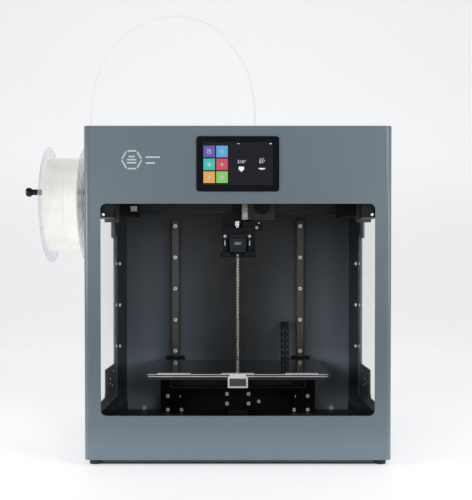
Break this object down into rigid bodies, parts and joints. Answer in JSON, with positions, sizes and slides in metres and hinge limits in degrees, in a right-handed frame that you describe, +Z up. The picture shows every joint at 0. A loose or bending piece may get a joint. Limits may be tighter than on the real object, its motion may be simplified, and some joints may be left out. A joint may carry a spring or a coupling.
{
  "type": "fdm 3d printer",
  "caption": "Desktop filament 3-D printer with a sheet-metal body, open front and top, touch screen, heated bed, moving gantry and side spool.",
  "frame": {"origin": "centre of the body's footprint, on the surface that its feet stand on", "axes": "+X to the right seen from the front, +Y to the back, +Z up; the front opening faces -Y"},
  "size_m": [0.5866, 0.505, 0.729],
  "materials": {
    "body_paint": "fine-textured powder coat, satin",
    "chamber_paint": "dark powder coat, satin",
    "clear_acrylic": "clear, polished",
    "dark_steel": "dark zinc-coated sheet, satin",
    "rubber_foot": "moulded, matt",
    "screw_steel": "zinc plated",
    "screen_glass": "black glass front",
    "black_plastic": "moulded, matt",
    "black_gloss": "moulded, polished",
    "bed_black": "black coating on aluminium",
    "psu_case": "folded, plain",
    "circuit_board": "solder mask",
    "spool_clear": "clear polystyrene",
    "filament_white": "wound plastic filament, soft sheen",
    "tube_clear": "translucent fluoropolymer",
    "rail_steel": "ground rail steel",
    "screw_thread": "rolled thread",
    "brass_part": "turned",
    "motor_case": "black, satin",
    "alloy": "machined",
    "beam_alloy": "anodised, dark grey",
    "belt_rubber": "toothed belt",
    "chain_plastic": "moulded links",
    "plate_coating": "coated glass, mirror gloss",
    "cover_paint": "moulded, blue grey"
  },
  "bodies": {
    "root": {"base_pan": "chamber_paint", "front_panel": "body_paint", "left_side_panel": "body_paint", "right_side_panel": "body_paint", "top_frame": "body_paint", "rear_partition": "chamber_paint", "rear_cover": "body_paint", "left_window": "clear_acrylic", "right_window": "clear_acrylic", "corner_plates": "dark_steel", "feet": "rubber_foot", "frame_screws": "screw_steel", "touch_screen": "screen_glass", "power_inlet": "black_plastic", "power_supply": "psu_case", "control_board": "circuit_board", "fan_frame": "black_plastic", "spool_rod": "black_plastic", "rod_knob": "black_gloss", "filament_sensor": "black_plastic", "left_z_rail": "rail_steel", "right_z_rail": "rail_steel", "z_motor": "motor_case", "screw_bearing": "dark_steel", "y_rails": "rail_steel", "idler_blocks": "black_plastic", "y_belts": "belt_rubber", "y_motor": "motor_case", "feed_tube_lower": "tube_clear", "bed_chain": "chain_plastic"},
    "switch_rocker": {"power_switch": "black_gloss"},
    "rear_fan_rotor": {"fan_rotor": "black_plastic"},
    "spool_assembly": {"spool": "spool_clear", "filament": "filament_white"},
    "screw_assembly": {"lead_screw": "screw_thread", "shaft_coupling": "alloy"},
    "bed_assembly": {"z_blocks": "dark_steel", "lead_nut": "brass_part", "bed_carrier": "dark_steel", "carrier_bolts": "screw_steel", "heated_bed": "bed_black"},
    "removable_plate": {"build_plate": "plate_coating", "plate_grip": "screw_steel"},
    "y_drive": {"y_shaft": "alloy"},
    "y_idler_wheels": {"y_idlers": "alloy"},
    "gantry": {"gantry_beam": "beam_alloy", "gantry_ends": "black_plastic", "x_rail": "rail_steel", "x_belt": "belt_rubber", "x_motor": "motor_case"},
    "x_drive_wheel": {"x_pulley": "alloy"},
    "x_idler_wheel": {"x_idler": "alloy"},
    "print_head": {"carriage": "black_plastic", "fan_cover": "cover_paint", "cooling_ducts": "black_plastic", "hot_end": "alloy", "extruder_motor": "motor_case", "head_screws": "screw_steel", "feed_tube_upper": "tube_clear"},
    "feed_gear": {"extruder_gear": "black_plastic"}
  },
  "joints": [
    {"name": "y_slide", "type": "slide", "parent": "root", "child": "gantry", "axis": [0, 1, 0], "range_m": [-0.018, 0.16], "deforming": ["feed_tube_lower"]},
    {"name": "x_slide", "type": "slide", "parent": "gantry", "child": "print_head", "axis": [1, 0, 0], "range_m": [-0.12, 0.105], "deforming": ["feed_tube_upper"]},
    {"name": "z_slide", "type": "slide", "parent": "root", "child": "bed_assembly", "axis": [0, 0, 1], "range_m": [0, 0.185], "deforming": ["bed_chain"]},
    {"name": "screw_turn", "type": "hinge", "parent": "root", "child": "screw_assembly", "pos_m": [0, 0.175, 0.2], "axis": [0, 0, 1], "range_deg": [-20, 8345]},
    {"name": "plate_slide", "type": "slide", "parent": "bed_assembly", "child": "removable_plate", "axis": [0, -1, 0], "range_m": [0, 0.25]},
    {"name": "y_shaft_turn", "type": "hinge", "parent": "root", "child": "y_drive", "pos_m": [0, 0.19, 0.43], "axis": [1, 0, 0], "range_deg": [-182, 1460]},
    {"name": "y_idler_turn", "type": "hinge", "parent": "root", "child": "y_idler_wheels", "pos_m": [0, -0.225, 0.43], "axis": [1, 0, 0], "range_deg": [-182, 1460]},
    {"name": "x_pulley_turn", "type": "hinge", "parent": "gantry", "child": "x_drive_wheel", "pos_m": [-0.177, -0.021, 0.403], "axis": [0, 0, 1], "range_deg": [-1100, 965]},
    {"name": "x_idler_turn", "type": "hinge", "parent": "gantry", "child": "x_idler_wheel", "pos_m": [0.177, -0.021, 0.403], "axis": [0, 0, 1], "range_deg": [-1100, 965]},
    {"name": "feed_gear_turn", "type": "hinge", "parent": "print_head", "child": "feed_gear", "pos_m": [0.039, -0.07, 0.381], "axis": [0, -1, 0], "continuous": true},
    {"name": "spool_turn", "type": "hinge", "parent": "root", "child": "spool_assembly", "pos_m": [-0.294, 0.04, 0.3923], "axis": [1, 0, 0], "continuous": true},
    {"name": "fan_turn", "type": "hinge", "parent": "root", "child": "rear_fan_rotor", "pos_m": [-0.15, 0.242, 0.38], "axis": [0, 1, 0], "continuous": true},
    {"name": "switch_rock", "type": "hinge", "parent": "root", "child": "switch_rocker", "pos_m": [0.104, 0.249, 0.06], "axis": [1, 0, 0], "range_deg": [-10, 10]}
  ],
  "couplings": [
    {"joint": "screw_turn", "follows": "z_slide", "rad_per_m": 785.4},
    {"joint": "y_shaft_turn", "follows": "y_slide", "rad_per_m": 157.08},
    {"joint": "y_idler_turn", "follows": "y_slide", "rad_per_m": 157.08},
    {"joint": "x_pulley_turn", "follows": "x_slide", "rad_per_m": 157.08},
    {"joint": "x_idler_turn", "follows": "x_slide", "rad_per_m": 157.08}
  ]
}
